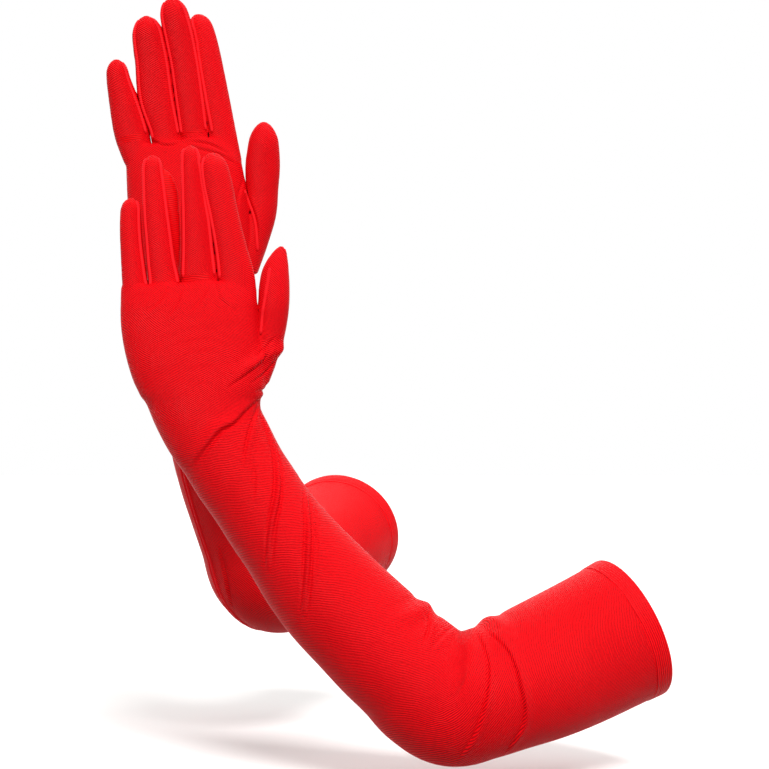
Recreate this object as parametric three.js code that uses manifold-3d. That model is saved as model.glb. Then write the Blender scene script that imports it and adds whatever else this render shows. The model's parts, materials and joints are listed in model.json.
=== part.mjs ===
// A pair of opera-length gloves in stretch satin, held up as two raised and bent arms.
// Millimetres, +Z up. The origin is the middle of the left cuff's mouth, where that arm goes in.
// The left hand is in front, the right glove behind it with its palm towards the left one.
import * as THREE from 'three';
import { mergeVertices } from 'three/addons/utils/BufferGeometryUtils.js';
import Module from 'manifold-3d';

const wasm = await Module();
wasm.setup();

// Cloth
const CLOTH_THICKNESS = 1;
const SEAM_GAP = 0.3; // left open along every seam
const CUTTER_OVERSHOOT = 2; // how far a cutter runs past what it cuts

// Lengths along one glove, both gloves alike
const UPPER_SLEEVE_LENGTH = 138; // elbow to cuff mouth
const FOREARM_LENGTH = 250; // elbow to wrist
const PALM_LENGTH = 92; // wrist to finger crotches
const HEM_LENGTH = 12;
const HEM_THICKNESS = 2; // turned up twice
const ELBOW_FOLD_UP = 42; // soft zone above the elbow
const ELBOW_FOLD_DOWN = 50; // soft zone below the elbow
const WRIST_FOLD = 15; // soft zone each way from the wrist

// Sections across the sleeve: width, depth and how square (2 is an ellipse)
const CUFF = { width: 99, depth: 95, square: 2 };
const UPPER_ARM = { width: 91, depth: 87, square: 2 };
const ABOVE_ELBOW = { width: 87, depth: 83, square: 2 };
const ELBOW = { width: 91, depth: 81, square: 2 };
const BELOW_ELBOW = { width: 79, depth: 76, square: 2 };
const FULL_FOREARM = { width: 74, depth: 71, square: 2 };
const MID_FOREARM = { width: 69, depth: 65, square: 2 };
const LOW_FOREARM = { width: 62, depth: 58, square: 2 };
const WRIST = { width: 67, depth: 50, square: 2.1 };
const HEEL = { width: 90, depth: 42, square: 2.2 };
const PALM = { width: 89, depth: 34, square: 2.4 };
const KNUCKLE_DEPTH = 21;
const KNUCKLE_SQUARE = 2.8;

// Fingers, from the little finger to the index finger
const FINGERS = [
  { name: 'little', length: 57, width: 18.5, depth: 16, strips: ['thumbward'] },
  { name: 'ring', length: 84, width: 20.5, depth: 17, strips: ['outward', 'thumbward'] },
  { name: 'middle', length: 88, width: 23, depth: 17.5, strips: ['outward', 'thumbward'] },
  { name: 'index', length: 78, width: 23, depth: 17, strips: ['outward'] },
];
const FINGER_SPACE = 0.9; // between neighbours at the crotch
const FINGER_TAPER = 0.72; // width near the tip over width at the crotch
const FINGER_ROOT = 12; // finger core carried down into the palm
const FINGER_CUT_LIFT = 3; // crotch to the crease where a finger turns
const FOURCHETTE_WIDTH = 9; // widest, at the crotch

const THUMB = { length: 37, width: 21.5, depth: 19 }; // crease to tip
const THUMB_ROOT = 18; // thumb core carried down into its ball
const THUMB_BALL = { width: 31, depth: 30 };

// Mesh fineness
const AROUND_SLEEVE = 20;
const AROUND_FINGER = 10;
const RING_SPACING = 30;
const BEND_RING_SPACING = 13;
const TIP_STEPS = 3;
const CARRY_STEPS = 300; // samples that carry the sleeve's front along its path

// How each glove is held. Turn is the angle from +X to +Z, recede the angle away towards +Y.
const LEFT_POSE = {
  prefix: 'left', back: -1, elbow: [43.5, 0, -209],
  upper: { turn: 19, recede: 19, bow: 5 },
  forearm: { turn: 130.2, recede: 0, bow: 18 },
  hand: { turn: 98, recede: 0, bow: 0 },
  fingerTurn: { little: 93.6, ring: 96.1, middle: 95.3, index: 98.4 },
  thumb: { across: 54.5, down: 25, turn: 81 },
  ball: { across: 42, down: 49, turn: 73, length: 72 },
};
const RIGHT_POSE = {
  prefix: 'right', back: 1, elbow: [-87, 190, -145],
  upper: { turn: 24, recede: 65, bow: 4 },
  forearm: { turn: 101.4, recede: -17.5, bow: 14 },
  hand: { turn: 99.8, recede: 0, bow: 0 },
  fingerTurn: { little: 101.5, ring: 98.9, middle: 99.8, index: 99.2 },
  thumb: { across: 54, down: 40, turn: 83 },
  ball: { across: 43, down: 62, turn: 76, length: 60 },
};

const SATIN_RED = 0xf0202a;

// ---------- helpers

const FRONT = new THREE.Vector3(0, -1, 0);

function heading(turn, recede = 0) {
  const flat = Math.cos(THREE.MathUtils.degToRad(recede));
  const angle = THREE.MathUtils.degToRad(turn);
  return new THREE.Vector3(
    flat * Math.cos(angle),
    Math.sin(THREE.MathUtils.degToRad(recede)),
    flat * Math.sin(angle),
  );
}

// Axes across a limb that runs along the given direction: side, along, front.
function axesAlong(along, towardFront = FRONT) {
  const front = towardFront.clone().addScaledVector(along, -towardFront.dot(along)).normalize();
  const side = new THREE.Vector3().crossVectors(along, front);
  return { side, along, front };
}

// Merges shared vertices and turns the faces outwards.
function closedGeometry(source) {
  source.deleteAttribute('normal');
  source.deleteAttribute('uv');
  const geometry = mergeVertices(source, 1e-4);
  const index = geometry.index.array;
  const at = (i) => new THREE.Vector3().fromBufferAttribute(geometry.attributes.position, i);
  let volume = 0;
  for (let i = 0; i < index.length; i += 3) {
    volume += at(index[i]).dot(at(index[i + 1]).cross(at(index[i + 2])));
  }
  if (volume < 0) {
    for (let i = 0; i < index.length; i += 3) {
      [index[i + 1], index[i + 2]] = [index[i + 2], index[i + 1]];
    }
  }
  return geometry;
}

function toSolid(source) {
  const geometry = closedGeometry(source);
  return new wasm.Manifold(new wasm.Mesh({
    numProp: 3,
    vertProperties: new Float32Array(geometry.attributes.position.array),
    triVerts: new Uint32Array(geometry.index.array),
  }));
}

function toGeometry(solid) {
  const mesh = solid.getMesh();
  const geometry = new THREE.BufferGeometry();
  geometry.setAttribute('position', new THREE.BufferAttribute(mesh.vertProperties, mesh.numProp));
  geometry.setIndex(new THREE.BufferAttribute(mesh.triVerts, 1));
  return geometry;
}

function clothMesh(name, geometry) {
  const material = new THREE.MeshStandardMaterial({
    color: SATIN_RED, roughness: 0.5, metalness: 0, flatShading: true,
  });
  geometry.computeVertexNormals();
  const mesh = new THREE.Mesh(geometry, material);
  mesh.name = name;
  return mesh;
}

// ---------- the sleeve: one path from the cuff mouth to the finger crotches

function knuckleSection() {
  const width = FINGERS.reduce((sum, finger) => sum + finger.width + FINGER_SPACE, 1);
  return { width, depth: KNUCKLE_DEPTH, square: KNUCKLE_SQUARE };
}

// A point on a bowed stretch: share 0 at its start, 1 at its end.
function bowedPoint(start, pose, length, share) {
  const along = heading(pose.turn, pose.recede);
  const outside = heading(pose.turn + (pose.turn < 90 ? -90 : 90));
  const bow = 4 * pose.bow * share * (1 - share);
  return start.clone().addScaledVector(along, length * share).addScaledVector(outside, bow);
}

function makeSleeve(pose) {
  const elbow = new THREE.Vector3(...pose.elbow);
  const wrist = bowedPoint(elbow, pose.forearm, FOREARM_LENGTH, 1);
  const upperAt = (share) => bowedPoint(elbow, pose.upper, UPPER_SLEEVE_LENGTH, share);
  const forearmAt = (share) => bowedPoint(elbow, pose.forearm, FOREARM_LENGTH, share);
  const handAt = (share) => bowedPoint(wrist, pose.hand, PALM_LENGTH, share);
  const stations = [
    { at: upperAt(1), section: CUFF },
    { at: upperAt(0.66), section: UPPER_ARM },
    { at: upperAt(0.36), section: ABOVE_ELBOW },
    { at: elbow, section: ELBOW, mark: 'elbow' },
    { at: forearmAt(0.21), section: BELOW_ELBOW },
    { at: forearmAt(0.37), section: FULL_FOREARM },
    { at: forearmAt(0.52), section: MID_FOREARM },
    { at: forearmAt(0.74), section: LOW_FOREARM },
    { at: wrist, section: WRIST, mark: 'wrist' },
    { at: handAt(0.32), section: HEEL },
    { at: handAt(0.62), section: PALM },
    { at: handAt(1), section: knuckleSection() },
  ];
  const last = stations.length - 1;
  const path = new THREE.CatmullRomCurve3(stations.map((station) => station.at), false, 'centripetal');
  path.arcLengthDivisions = last * 40;
  const lengths = path.getLengths();
  const distanceOf = (mark) => lengths[stations.findIndex((s) => s.mark === mark) * 40];
  const sections = stations.map((station) => station.section);
  return {
    path, sections, fronts: carryFront(path),
    end: path.getLength(),
    elbowAt: distanceOf('elbow'),
    wristAt: distanceOf('wrist'),
    crotch: stations[last].at,
  };
}

// The front direction, carried without twist from the finger crotches down to the cuff.
function carryFront(path) {
  const fronts = [];
  let front = FRONT;
  for (let i = CARRY_STEPS; i >= 0; i -= 1) {
    front = axesAlong(path.getTangent(i / CARRY_STEPS), front).front;
    fronts[i] = front;
  }
  return fronts;
}

function sleeveAxes(sleeve, t) {
  return axesAlong(sleeve.path.getTangent(t), sleeve.fronts[Math.round(t * CARRY_STEPS)]);
}

// Size of the section at t, eased from one station to the next.
function sectionAt(sleeve, t) {
  const place = t * (sleeve.sections.length - 1);
  const first = Math.min(Math.floor(place), sleeve.sections.length - 2);
  const share = THREE.MathUtils.smoothstep(place - first, 0, 1) * 0.5 + (place - first) * 0.5;
  const [a, b] = [sleeve.sections[first], sleeve.sections[first + 1]];
  const mix = (key) => THREE.MathUtils.lerp(a[key], b[key], share);
  return { width: mix('width'), depth: mix('depth'), square: mix('square') };
}

// A point of the sleeve's skin: angle around it, distance along it, inset into the cloth.
function sleevePoint(sleeve, angle, distance, inset, reach = 1) {
  const t = distance <= 0 ? 0 : sleeve.path.getUtoTmapping(0, distance);
  const section = sectionAt(sleeve, t);
  const { side, front } = sleeveAxes(sleeve, t);
  const [c, s] = [Math.cos(angle), Math.sin(angle)];
  const power = section.square;
  const round = (Math.abs(c) ** power + Math.abs(s) ** power) ** (-1 / power);
  return sleeve.path.getPoint(t)
    .addScaledVector(side, reach * (section.width / 2 - inset) * c * round)
    .addScaledVector(front, reach * (section.depth / 2 - inset) * s * round);
}

function ringsBetween(from, to, spacing = RING_SPACING) {
  return Math.max(1, Math.round((to - from) / spacing));
}

function bendVertices(geometry, bend) {
  const position = geometry.attributes.position;
  const vertex = new THREE.Vector3();
  for (let i = 0; i < position.count; i += 1) {
    const placed = bend(vertex.fromBufferAttribute(position, i));
    position.setXYZ(i, placed.x, placed.y, placed.z);
  }
  return geometry;
}

// A length of sleeve as one open tube of cloth.
function sleeveTube(sleeve, from, to, thickness) {
  const rings = ringsBetween(from, to, BEND_RING_SPACING);
  const climb = Array.from({ length: rings + 1 }, (_, i) => from + ((to - from) * i) / rings);
  const outer = climb.map((y) => new THREE.Vector2(2, y));
  const inner = climb.map((y) => new THREE.Vector2(1, y)).reverse();
  const geometry = new THREE.LatheGeometry([...outer, ...inner, outer[0]], AROUND_SLEEVE);
  return closedGeometry(bendVertices(geometry, (v) => sleevePoint(
    sleeve, Math.atan2(v.z, v.x), v.y, (2 - Math.round(Math.hypot(v.x, v.z))) * thickness,
  )));
}

// Half of that tube, on the front (+1) or the far side (-1).
function sleevePanel(sleeve, from, to, face) {
  const geometry = new THREE.BoxGeometry(1, 1, 1, AROUND_SLEEVE / 2, ringsBetween(from, to), 1);
  return closedGeometry(bendVertices(geometry, (v) => {
    const distance = THREE.MathUtils.lerp(from, to, v.y + 0.5);
    const inset = (0.5 - v.z) * CLOTH_THICKNESS;
    const angle = face * Math.PI * (0.5 - v.x);
    const placed = sleevePoint(sleeve, angle, distance, inset);
    const { front } = sleeveAxes(sleeve, sleeve.path.getUtoTmapping(0, distance));
    const onSeam = Math.abs(Math.abs(v.x) - 0.5) < 1e-6;
    return onSeam ? placed.addScaledVector(front, (face * SEAM_GAP) / 2) : placed;
  }));
}

// The palm as a filled core, for cutting and joining.
function palmCore(sleeve, from, to, inset) {
  const rings = ringsBetween(from, to) + 1;
  const geometry = new THREE.CylinderGeometry(1, 1, 1, AROUND_SLEEVE, rings);
  return toSolid(bendVertices(geometry, (v) => sleevePoint(
    sleeve, Math.atan2(v.z, v.x), THREE.MathUtils.lerp(from, to, v.y + 0.5), inset,
    Math.min(1, Math.hypot(v.x, v.z)),
  )));
}

// ---------- fingers, each a tapered tube with a round tip

// Digit frame: x across towards the thumb, y along to the tip, z to the front.
function digitMatrix(origin, turn) {
  const { side, along, front } = axesAlong(heading(turn));
  return new THREE.Matrix4().makeBasis(side, along, front).setPosition(origin);
}

function placeFingers(pose, sleeve) {
  const { side } = axesAlong(heading(pose.hand.turn));
  const total = FINGERS.reduce((sum, finger) => sum + finger.width + FINGER_SPACE, -FINGER_SPACE);
  let edge = -total / 2;
  return FINGERS.map((finger) => {
    const origin = sleeve.crotch.clone().addScaledVector(side, edge + finger.width / 2);
    edge += finger.width + FINGER_SPACE;
    const matrix = digitMatrix(origin, pose.fingerTurn[finger.name]);
    return { ...finger, matrix, cut: FINGER_CUT_LIFT, root: FINGER_ROOT };
  });
}

// A place on the hand, measured from the middle of the finger crotches.
function handMatrix(pose, sleeve, { across, down, turn }) {
  const { side, along } = axesAlong(heading(pose.hand.turn));
  const origin = sleeve.crotch.clone().addScaledVector(side, across).addScaledVector(along, -down);
  return digitMatrix(origin, turn);
}

function placeThumb(pose, sleeve) {
  return { ...THUMB, matrix: handMatrix(pose, sleeve, pose.thumb), cut: 0, root: THUMB_ROOT };
}

// The ball of the thumb, an egg that joins the thumb to the palm.
function ballCore(pose, sleeve, inset) {
  const geometry = new THREE.SphereGeometry(1, AROUND_FINGER, AROUND_FINGER / 2);
  const { width, depth } = THUMB_BALL;
  geometry.scale(width / 2 - inset, pose.ball.length / 2 - inset, depth / 2 - inset);
  return toSolid(geometry.applyMatrix4(handMatrix(pose, sleeve, pose.ball)));
}

function digitCore(digit, inset) {
  const radius = digit.width / 2 - inset;
  const tipRadius = radius * FINGER_TAPER;
  const tipStart = digit.length - inset - tipRadius;
  const bottom = inset - digit.root;
  const middle = digit.cut + (tipStart - digit.cut) * 0.6;
  const profile = [[0, bottom], [radius, bottom], [radius, digit.cut]];
  profile.push([(radius + tipRadius) / 2, middle]);
  for (let i = 0; i < TIP_STEPS; i += 1) {
    const angle = (i / TIP_STEPS) * (Math.PI / 2);
    profile.push([tipRadius * Math.cos(angle), tipStart + tipRadius * Math.sin(angle)]);
  }
  profile.push([0, tipStart + tipRadius]);
  const points = profile.map(([x, y]) => new THREE.Vector2(x, y));
  const geometry = new THREE.LatheGeometry(points, AROUND_FINGER);
  geometry.scale(1, 1, (digit.depth / 2 - inset) / radius);
  return toSolid(geometry.applyMatrix4(digit.matrix));
}

// Everything of a digit beyond its crease.
function digitLane(digit, cut) {
  const height = digit.length - cut + CUTTER_OVERSHOOT;
  const lane = new THREE.BoxGeometry(digit.width + FINGER_SPACE * 0.7, height, digit.depth * 2);
  lane.translate(0, cut + height / 2, 0);
  return toSolid(lane.applyMatrix4(digit.matrix));
}

// The tapered strip between front and far panels on one side of a finger.
function fourchetteWedge(digit, toward, grow) {
  const start = digit.cut - CUTTER_OVERSHOOT;
  const end = digit.length - (digit.width / 2) * FINGER_TAPER;
  const half = FOURCHETTE_WIDTH / 2 + grow;
  const tip = SEAM_GAP / 2 + grow;
  const shape = new THREE.Shape([
    new THREE.Vector2(-half, start), new THREE.Vector2(half, start),
    new THREE.Vector2(tip, end + grow), new THREE.Vector2(-tip, end + grow),
  ]);
  const geometry = new THREE.ExtrudeGeometry(shape, { depth: digit.width, bevelEnabled: false });
  geometry.rotateY(toward * (Math.PI / 2));
  return toSolid(geometry.applyMatrix4(digit.matrix));
}

// Half of space on the front (+1) or far (-1) side of a hand's middle plane.
function halfSpace(y, face) {
  const reach = 2 * (FOREARM_LENGTH + UPPER_SLEEVE_LENGTH);
  const geometry = new THREE.BoxGeometry(reach, reach, reach);
  geometry.translate(0, y - face * (reach / 2 + SEAM_GAP / 2), 0);
  return toSolid(geometry);
}

const TOWARD = { outward: -1, thumbward: 1 };

function fingerMeshes(pose, finger, halves) {
  const name = `${pose.prefix}_${finger.name}`;
  const tube = digitCore(finger, 0).subtract(digitCore(finger, CLOTH_THICKNESS));
  const shell = tube.intersect(digitLane(finger, finger.cut + SEAM_GAP / 2));
  let [back, palm] = [shell.intersect(halves.back), shell.intersect(halves.palm)];
  const meshes = [];
  for (const strip of finger.strips) {
    const clear = fourchetteWedge(finger, TOWARD[strip], SEAM_GAP);
    back = back.subtract(clear);
    palm = palm.subtract(clear);
    const sideWedge = fourchetteWedge(finger, TOWARD[strip], 0);
    meshes.push(clothMesh(`${name}_fourchette_${strip}`, toGeometry(shell.intersect(sideWedge))));
  }
  meshes.push(clothMesh(`${name}_back`, toGeometry(back)));
  meshes.push(clothMesh(`${name}_palm`, toGeometry(palm)));
  return meshes;
}

// All that lies on the wrist side of the heel of the hand.
function belowHeel(sleeve, heelAt) {
  const t = sleeve.path.getUtoTmapping(0, heelAt);
  const { side, along, front } = sleeveAxes(sleeve, t);
  const geometry = new THREE.BoxGeometry(HEEL.width * 2, PALM_LENGTH, HEEL.width * 2);
  geometry.translate(0, -PALM_LENGTH / 2, 0);
  const matrix = new THREE.Matrix4().makeBasis(side, along, front);
  return toSolid(geometry.applyMatrix4(matrix.setPosition(sleeve.path.getPoint(t))));
}

function handShell(pose, sleeve, digits, heelAt) {
  const join = (cores) => cores.reduce((all, core) => all.add(core));
  const outer = join([
    palmCore(sleeve, heelAt, sleeve.end, 0),
    ballCore(pose, sleeve, 0),
    ...digits.map((d) => digitCore(d, 0)),
  ]);
  const inner = join([
    palmCore(sleeve, heelAt - CUTTER_OVERSHOOT, sleeve.end - CLOTH_THICKNESS, CLOTH_THICKNESS),
    ballCore(pose, sleeve, CLOTH_THICKNESS),
    ...digits.map((d) => digitCore(d, CLOTH_THICKNESS)),
  ]);
  const lanes = join(digits.map((d) => digitLane(d, d.cut - SEAM_GAP / 2)));
  return outer.subtract(inner).subtract(lanes).subtract(belowHeel(sleeve, heelAt));
}

function handMeshes(pose, sleeve, heelAt) {
  const fingers = placeFingers(pose, sleeve);
  const thumb = placeThumb(pose, sleeve);
  const halves = {
    back: halfSpace(sleeve.crotch.y, -pose.back),
    palm: halfSpace(sleeve.crotch.y, pose.back),
  };
  const hand = handShell(pose, sleeve, [...fingers, thumb], heelAt);
  const thumbTube = digitCore(thumb, 0).subtract(digitCore(thumb, CLOTH_THICKNESS))
    .intersect(digitLane(thumb, thumb.cut + SEAM_GAP / 2));
  return [
    clothMesh(`${pose.prefix}_hand_back`, toGeometry(hand.intersect(halves.back))),
    clothMesh(`${pose.prefix}_hand_palm`, toGeometry(hand.intersect(halves.palm))),
    clothMesh(`${pose.prefix}_thumb`, toGeometry(thumbTube)),
    ...fingers.flatMap((finger) => fingerMeshes(pose, finger, halves)),
  ];
}

// ---------- one whole glove

function makeGlove(pose) {
  const sleeve = makeSleeve(pose);
  const half = SEAM_GAP / 2;
  const elbowTop = sleeve.elbowAt - ELBOW_FOLD_UP;
  const elbowBottom = sleeve.elbowAt + ELBOW_FOLD_DOWN;
  const wristTop = sleeve.wristAt - WRIST_FOLD;
  const heelAt = sleeve.wristAt + WRIST_FOLD;
  const glove = new THREE.Group();
  glove.userData.mouth = sleeve.path.getPoint(0);
  const tube = (name, from, to, thickness) => glove.add(
    clothMesh(`${pose.prefix}_${name}`, sleeveTube(sleeve, from, to, thickness)),
  );
  const panels = (name, from, to) => {
    for (const [side, face] of [['outer', -pose.back], ['inner', pose.back]]) {
      glove.add(clothMesh(`${pose.prefix}_${name}_${side}`, sleevePanel(sleeve, from, to, face)));
    }
  };
  tube('cuff_hem', 0, HEM_LENGTH - half, HEM_THICKNESS);
  panels('upper_sleeve', HEM_LENGTH + half, elbowTop - half);
  tube('elbow_sleeve', elbowTop + half, elbowBottom - half, CLOTH_THICKNESS);
  panels('forearm_sleeve', elbowBottom + half, wristTop - half);
  tube('wrist_sleeve', wristTop + half, heelAt - half, CLOTH_THICKNESS);
  glove.add(...handMeshes(pose, sleeve, heelAt + half));
  return glove;
}

const gloves = new THREE.Group();
const leftGlove = makeGlove(LEFT_POSE);
gloves.add(leftGlove, makeGlove(RIGHT_POSE));
gloves.position.copy(leftGlove.userData.mouth).negate();
gloves.updateMatrixWorld(true);

export default gloves;
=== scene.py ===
import json
import math

import bmesh
import bpy
import numpy as np
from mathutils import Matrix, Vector
from mathutils.bvhtree import BVHTree
from mathutils.kdtree import KDTree


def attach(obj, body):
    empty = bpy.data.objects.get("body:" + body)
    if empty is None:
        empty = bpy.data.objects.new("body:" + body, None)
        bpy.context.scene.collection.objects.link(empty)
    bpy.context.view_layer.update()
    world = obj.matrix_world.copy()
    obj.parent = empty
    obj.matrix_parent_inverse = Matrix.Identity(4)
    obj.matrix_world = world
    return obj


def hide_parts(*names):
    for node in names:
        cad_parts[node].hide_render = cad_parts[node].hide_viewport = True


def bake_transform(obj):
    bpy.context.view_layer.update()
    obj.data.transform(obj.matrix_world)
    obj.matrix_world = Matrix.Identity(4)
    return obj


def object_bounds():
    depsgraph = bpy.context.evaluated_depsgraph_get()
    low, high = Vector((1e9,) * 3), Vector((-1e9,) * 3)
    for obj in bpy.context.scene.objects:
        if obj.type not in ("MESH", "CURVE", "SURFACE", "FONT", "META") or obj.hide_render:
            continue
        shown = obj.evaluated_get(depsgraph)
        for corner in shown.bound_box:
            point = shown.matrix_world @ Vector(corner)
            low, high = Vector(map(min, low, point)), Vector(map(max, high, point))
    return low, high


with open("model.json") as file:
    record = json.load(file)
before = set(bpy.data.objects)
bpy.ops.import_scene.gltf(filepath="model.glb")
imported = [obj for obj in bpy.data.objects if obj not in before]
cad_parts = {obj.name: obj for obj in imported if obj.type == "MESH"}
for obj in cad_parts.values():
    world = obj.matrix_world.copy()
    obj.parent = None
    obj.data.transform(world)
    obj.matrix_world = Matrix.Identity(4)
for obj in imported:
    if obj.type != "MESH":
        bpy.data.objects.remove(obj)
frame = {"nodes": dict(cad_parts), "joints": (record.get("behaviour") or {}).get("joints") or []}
cadBox = [[float(c) for c in corner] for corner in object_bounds()]

# Measures are millimetres in one layout: x to the right, y away from the viewer, z up.
# Its origin is the middle of the view, placed by the left glove's wrist hinge.
joints = {joint["name"]: joint for joint in frame["joints"]}


def jointPoint(name):
    return np.array(joints[name]["pos_m"], float) * 1000


layoutOrigin = jointPoint("left_wrist") - np.array((-117.9, 0.0, -18.0))


def toRow(points):
    return (np.asarray(points, float) + layoutOrigin) / 1000


def unit(v):
    v = np.asarray(v, float)
    return v / np.maximum(np.linalg.norm(v, axis=-1, keepdims=True), 1e-9)


def curveThrough(rows, t, q):
    # a cubic curve through rows known at t, read at q
    m = np.gradient(rows, t, axis=0)
    i = np.clip(np.searchsorted(t, q, side="right") - 1, 0, len(t) - 2)
    h = (t[i + 1] - t[i])[:, None]
    u = ((q - t[i]) / (t[i + 1] - t[i]))[:, None]
    return (
        (2 * u**3 - 3 * u**2 + 1) * rows[i]
        + (u**3 - 2 * u**2 + u) * h * m[i]
        + (-2 * u**3 + 3 * u**2) * rows[i + 1]
        + (u**3 - u**2) * h * m[i + 1]
    )


def lengthAlong(points):
    return np.concatenate(([0], np.cumsum(np.linalg.norm(np.diff(points, axis=0), axis=1))))


def smoothRows(rows, spacing):
    # one row every spacing mm along the stations
    rows = np.asarray(rows, float)
    t = lengthAlong(rows[:, :3])
    q = np.linspace(0, t[-1], max(3, int(round(t[-1] / spacing)) + 1))
    return q, curveThrough(rows, t, q)


def makeLimb(rows, square, side=(1, 0, 0), spacing=2.0):
    # a path of stations (x, y, z, width, depth) with its frames, carried back from its far end
    s, r = smoothRows(rows, spacing)
    along = unit(np.gradient(r[:, :3], s, axis=0))
    sides = np.zeros_like(along)
    carried = np.array(side, float)
    for k in range(len(s) - 1, -1, -1):
        carried = unit(carried - np.dot(carried, along[k]) * along[k])
        sides[k] = carried
    return {
        "s": s, "centre": r[:, :3], "width": r[:, 3], "depth": r[:, 4],
        "along": along, "side": sides, "front": np.cross(sides, along), "square": square,
    }


def limbSolid(limb, around, inset):
    # a closed tube of quads over the limb, drawn in by inset
    angles = np.arange(around) / around * 2 * math.pi
    power = 2 / np.broadcast_to(np.reshape(limb["square"], (-1, 1)), (len(limb["centre"]), 1))
    c, s = (np.sign(v)[None, :] * np.abs(v)[None, :] ** power for v in (np.cos(angles), np.sin(angles)))
    halfWidth = np.maximum(limb["width"] / 2 - inset, 0.6)[:, None, None]
    halfDepth = np.maximum(limb["depth"] / 2 - inset, 0.6)[:, None, None]
    rings = (
        limb["centre"][:, None, :]
        + halfWidth * c[:, :, None] * limb["side"][:, None, :]
        + halfDepth * s[:, :, None] * limb["front"][:, None, :]
    )
    n = len(rings)
    points = np.concatenate((rings.reshape(-1, 3), limb["centre"][:1], limb["centre"][-1:]))
    faces = []
    for k in range(n - 1):
        a, b = k * around, (k + 1) * around
        for j in range(around):
            jn = (j + 1) % around
            faces.append((a + j, a + jn, b + jn, b + j))
    first, last = n * around, n * around + 1
    for j in range(around):
        jn = (j + 1) % around
        faces.append((first, jn, j))
        faces.append((last, (n - 1) * around + j, (n - 1) * around + jn))
    return points, faces


def meshFrom(points, faces, name):
    mesh = bpy.data.meshes.new(name)
    mesh.from_pydata([tuple(p) for p in points], [], [tuple(f) for f in faces])
    mesh.update()
    return mesh


def vertexNormals(mesh):
    normals = np.zeros(len(mesh.vertices) * 3, np.float32)
    mesh.vertex_normals.foreach_get("vector", normals)
    return normals.reshape(-1, 3).astype(float)


def vertexPoints(mesh):
    points = np.zeros(len(mesh.vertices) * 3, np.float32)
    mesh.vertices.foreach_get("co", points)
    return points.reshape(-1, 3).astype(float)


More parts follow.
